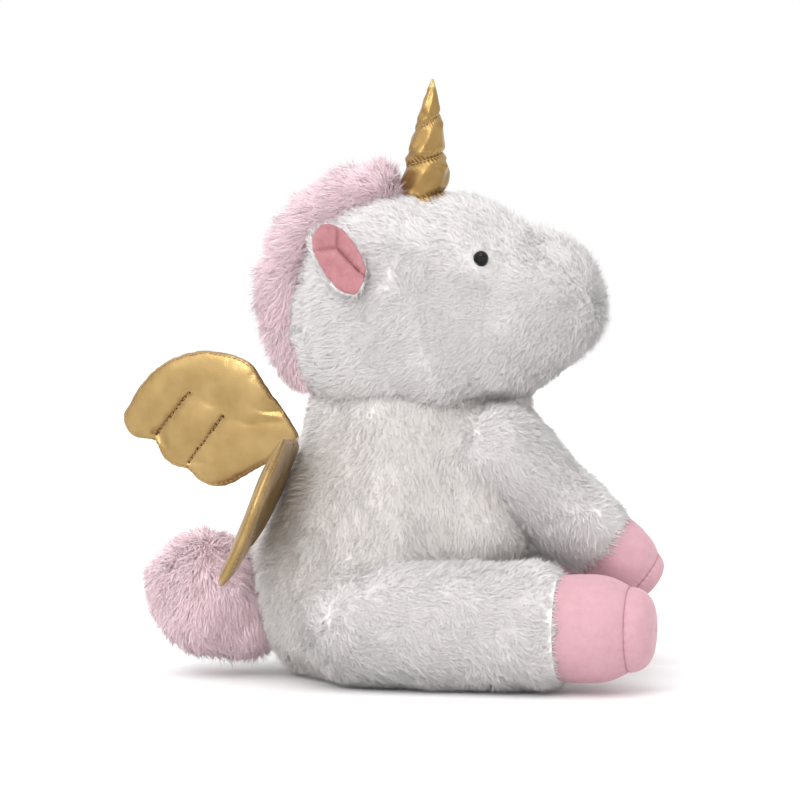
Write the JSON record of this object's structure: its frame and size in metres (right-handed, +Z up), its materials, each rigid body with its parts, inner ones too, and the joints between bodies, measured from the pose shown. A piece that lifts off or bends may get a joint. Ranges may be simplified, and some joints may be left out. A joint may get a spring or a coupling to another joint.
{
  "type": "plush unicorn",
  "caption": "Sitting plush unicorn of long-pile faux fur with velour hooves, a twisted gold horn and padded gold wings; head, limbs, wings, ears, horn and tail flex at their seams",
  "frame": {"origin": "on the floor under the middle of the seat", "axes": "+X towards the snout, +Y to the unicorn's left, +Z up"},
  "size_m": [0.2748, 0.2044, 0.2979],
  "materials": {
    "white_fur": "long-pile faux fur, fluffy",
    "pink_fur": "longer faux fur, combed and fluffy",
    "pink_velour": "short velour, soft sheen",
    "gold_sheet": "gold metallic leatherette, satin",
    "gold_thread": "gold-brown polyester thread",
    "white_thread": "white polyester thread",
    "fibre_stuffing": "loose polyester fibre",
    "pellets_in_cloth": "plain woven pouch of pellets",
    "black_eye": "polished",
    "washer_plastic": "moulded"
  },
  "bodies": {
    "trunk": {"body_shell": "white_fur", "body_stuffing": "fibre_stuffing", "pellet_pouch": "pellets_in_cloth", "closing_seam": "white_thread"},
    "neck": {"neck_stuffing": "fibre_stuffing"},
    "head": {"head_shell": "white_fur", "head_stuffing": "fibre_stuffing", "mane": "pink_fur", "eye_left": "black_eye", "eye_right": "black_eye", "eye_washer_left": "washer_plastic", "eye_washer_right": "washer_plastic"},
    "horn": {"horn_cover": "gold_sheet", "horn_stuffing": "fibre_stuffing", "horn_thread": "gold_thread"},
    "ear_left": {"ear_back_left": "white_fur", "ear_lining_left": "pink_velour"},
    "arm_left": {"arm_shell_left": "white_fur", "arm_stuffing_left": "fibre_stuffing", "front_hoof_left": "pink_velour", "front_sole_left": "pink_velour"},
    "leg_left": {"leg_shell_left": "white_fur", "leg_stuffing_left": "fibre_stuffing", "hind_hoof_left": "pink_velour", "hind_sole_left": "pink_velour"},
    "wing_left": {"wing_outer_left": "gold_sheet", "wing_inner_left": "gold_sheet", "wing_padding_left": "fibre_stuffing", "wing_stitching_left": "gold_thread"},
    "ear_right": {"ear_back_right": "white_fur", "ear_lining_right": "pink_velour"},
    "arm_right": {"arm_shell_right": "white_fur", "arm_stuffing_right": "fibre_stuffing", "front_hoof_right": "pink_velour", "front_sole_right": "pink_velour"},
    "leg_right": {"leg_shell_right": "white_fur", "leg_stuffing_right": "fibre_stuffing", "hind_hoof_right": "pink_velour", "hind_sole_right": "pink_velour"},
    "wing_right": {"wing_outer_right": "gold_sheet", "wing_inner_right": "gold_sheet", "wing_padding_right": "fibre_stuffing", "wing_stitching_right": "gold_thread"},
    "tail": {"tail_shell": "pink_fur", "tail_stuffing": "fibre_stuffing"}
  },
  "joints": [
    {"name": "neck_turn", "type": "hinge", "parent": "trunk", "child": "neck", "pos_m": [0.008, 0, 0.139], "axis": [0, 0, 1], "range_deg": [-25, 25]},
    {"name": "neck_nod", "type": "hinge", "parent": "neck", "child": "head", "pos_m": [0.008, 0, 0.139], "axis": [0, 1, 0], "range_deg": [-8, 8]},
    {"name": "horn_bend", "type": "hinge", "parent": "head", "child": "horn", "pos_m": [0.0155, 0, 0.237], "axis": [0, 1, 0], "range_deg": [-10, 10], "stiffness_Nm_per_rad": 0.08},
    {"name": "ear_right_fold", "type": "hinge", "parent": "head", "child": "ear_right", "pos_m": [-0.018, -0.0525, 0.1925], "axis": [0.8471, 0.1801, 0.5], "range_deg": [-15, 30], "stiffness_Nm_per_rad": 0.03},
    {"name": "arm_right_swing", "type": "hinge", "parent": "trunk", "child": "arm_right", "pos_m": [0.05, -0.028, 0.113], "axis": [0, -1, 0], "range_deg": [-4, 30]},
    {"name": "leg_right_lift", "type": "hinge", "parent": "trunk", "child": "leg_right", "pos_m": [-0.014, -0.048, 0.032], "axis": [-0.2079, -0.9781, 0], "range_deg": [0, 12]},
    {"name": "ear_left_fold", "type": "hinge", "parent": "head", "child": "ear_left", "pos_m": [-0.018, 0.0525, 0.1925], "axis": [-0.8471, 0.1801, -0.5], "range_deg": [-15, 30], "stiffness_Nm_per_rad": 0.03},
    {"name": "arm_left_swing", "type": "hinge", "parent": "trunk", "child": "arm_left", "pos_m": [0.05, 0.028, 0.113], "axis": [0, -1, 0], "range_deg": [-4, 30]},
    {"name": "leg_left_lift", "type": "hinge", "parent": "trunk", "child": "leg_left", "pos_m": [-0.014, 0.048, 0.032], "axis": [0.2079, -0.9781, 0], "range_deg": [0, 12]},
    {"name": "wing_left_flap", "type": "hinge", "parent": "trunk", "child": "wing_left", "pos_m": [-0.05, 0.013, 0.116], "axis": [0, 0, 1], "range_deg": [-20, 10], "stiffness_Nm_per_rad": 0.3},
    {"name": "wing_right_flap", "type": "hinge", "parent": "trunk", "child": "wing_right", "pos_m": [-0.0535, -0.017, 0.118], "axis": [0.0757, -0.7736, 0.6291], "range_deg": [-14, 2], "stiffness_Nm_per_rad": 0.3},
    {"name": "tail_wag", "type": "hinge", "parent": "trunk", "child": "tail", "pos_m": [-0.072, 0, 0.042], "axis": [0, 0, 1], "range_deg": [-10, 10], "stiffness_Nm_per_rad": 0.2}
  ]
}
